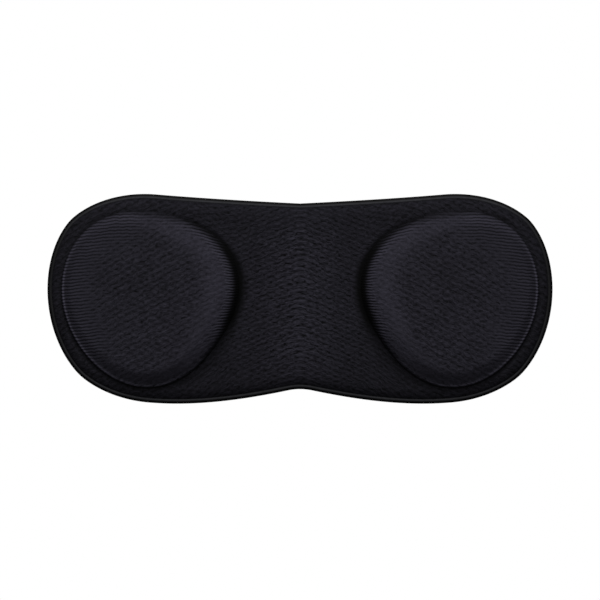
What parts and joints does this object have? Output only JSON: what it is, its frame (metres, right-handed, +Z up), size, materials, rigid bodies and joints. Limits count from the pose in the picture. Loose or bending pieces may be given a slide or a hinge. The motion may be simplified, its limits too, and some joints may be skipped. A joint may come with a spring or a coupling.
{
  "type": "contoured eye pad",
  "caption": "Moulded black eye pad with a raised cup over each eye, a shallow nose notch, a thin pressed rim and hollow lined backs; it folds at the bridge.",
  "frame": {"origin": "middle of the nose bridge, on the flat lining face that lies against the face or lens frame", "axes": "+Z up as worn, +X towards the wearer's left, +Y towards the wearer's face; the cups stand out towards -Y"},
  "size_m": [0.1998, 0.0147, 0.0831],
  "materials": {
    "face_knit": "matte",
    "lining_knit": "matte",
    "pressed_rim": "satin",
    "foam": "matte",
    "glue_film": "satin"
  },
  "bodies": {
    "bridge": {"bridge_face_fabric": "face_knit", "bridge_face_glue": "glue_film", "bridge_foam": "foam", "bridge_lining_glue": "glue_film", "bridge_lining_fabric": "lining_knit", "bridge_rim": "pressed_rim", "left_fold_strip": "face_knit", "right_fold_strip": "face_knit"},
    "left_wing": {"left_face_fabric": "face_knit", "left_face_glue": "glue_film", "left_foam": "foam", "left_lining_glue": "glue_film", "left_lining_fabric": "lining_knit", "left_rim": "pressed_rim"},
    "right_wing": {"right_face_fabric": "face_knit", "right_face_glue": "glue_film", "right_foam": "foam", "right_lining_glue": "glue_film", "right_lining_fabric": "lining_knit", "right_rim": "pressed_rim"}
  },
  "joints": [
    {"name": "left_fold", "type": "hinge", "parent": "bridge", "child": "left_wing", "pos_m": [0.014, -0.002, 0], "axis": [0, 0, 1], "range_deg": [-35, 85], "stiffness_Nm_per_rad": 0.02, "deforming": ["left_fold_strip"]},
    {"name": "right_fold", "type": "hinge", "parent": "bridge", "child": "right_wing", "pos_m": [-0.014, -0.002, 0], "axis": [0, 0, -1], "range_deg": [-35, 85], "stiffness_Nm_per_rad": 0.02, "deforming": ["right_fold_strip"]}
  ]
}
